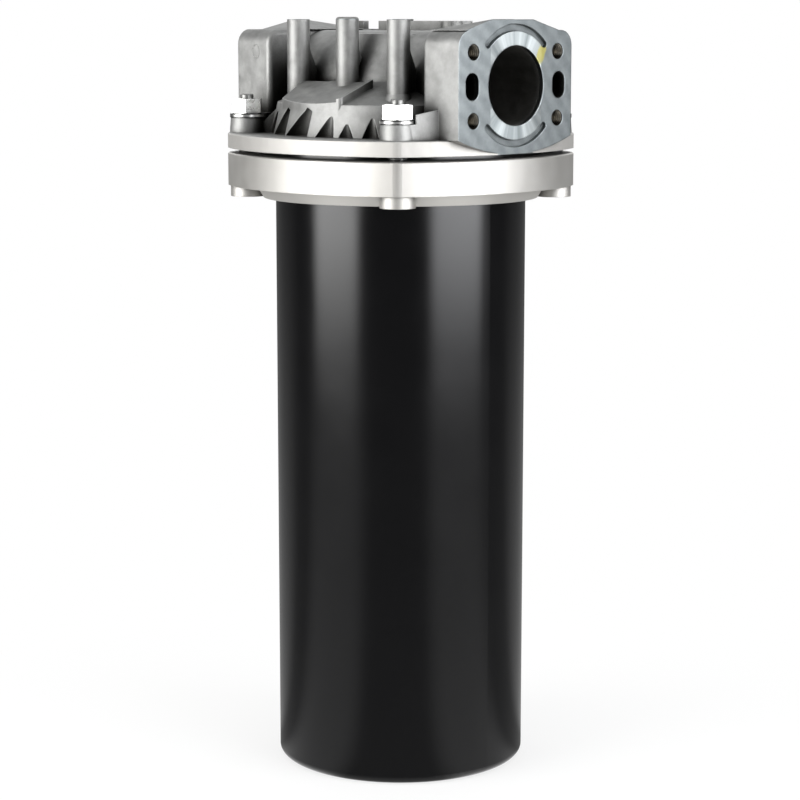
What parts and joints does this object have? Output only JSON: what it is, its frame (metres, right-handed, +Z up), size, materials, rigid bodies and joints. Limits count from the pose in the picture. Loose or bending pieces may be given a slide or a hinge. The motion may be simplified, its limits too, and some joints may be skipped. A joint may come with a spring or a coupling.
{
  "type": "hydraulic filter housing",
  "caption": "Hydraulic filter housing: cast aluminium head with side flange ports, studded clamp ring and a long black steel bowl around a pleated element.",
  "frame": {"origin": "middle of the bowl's underside, where the housing stands", "axes": "+Z up along the bowl to the head; +X out of the outlet port; -Y is the side with the bare sloping pad"},
  "size_m": [0.214, 0.214, 0.5054],
  "materials": {
    "cast_aluminium": "as-cast, bright on high spots, port faces machined",
    "turned_aluminium": "cast and turned, bright satin",
    "black_paint": "satin-gloss black enamel",
    "zinc_steel": "bright zinc plate",
    "tinned_steel": "tinned sheet steel",
    "spring_steel": "oiled spring steel",
    "nitrile": "smooth moulded nitrile rubber",
    "glass_fibre_medium": "pleated off-white glass fibre medium"
  },
  "bodies": {
    "housing": {"head": "cast_aluminium", "clamp_ring": "turned_aluminium", "bowl": "black_paint", "bowl_seal": "nitrile", "stud_1": "zinc_steel", "stud_2": "zinc_steel", "stud_3": "zinc_steel", "stud_4": "zinc_steel", "washer_1": "zinc_steel", "washer_2": "zinc_steel", "washer_3": "zinc_steel", "washer_4": "zinc_steel", "nut_1": "zinc_steel", "nut_2": "zinc_steel", "nut_3": "zinc_steel", "nut_4": "zinc_steel", "indicator_plug": "zinc_steel", "indicator_seal": "nitrile", "element_top_cap": "tinned_steel", "element_bottom_cap": "tinned_steel", "element_core": "tinned_steel", "element_medium": "glass_fibre_medium", "element_seal": "nitrile", "element_spring": "spring_steel", "bypass_spring": "spring_steel", "bypass_cage": "tinned_steel"},
    "bypass": {"bypass_poppet": "tinned_steel"}
  },
  "joints": [
    {"name": "bypass_lift", "type": "slide", "parent": "housing", "child": "bypass", "axis": [0, 0, 1], "range_m": [0, 0.008], "stiffness_N_per_m": 4000, "springref_m": -0.01, "deforming": ["bypass_spring"]}
  ]
}
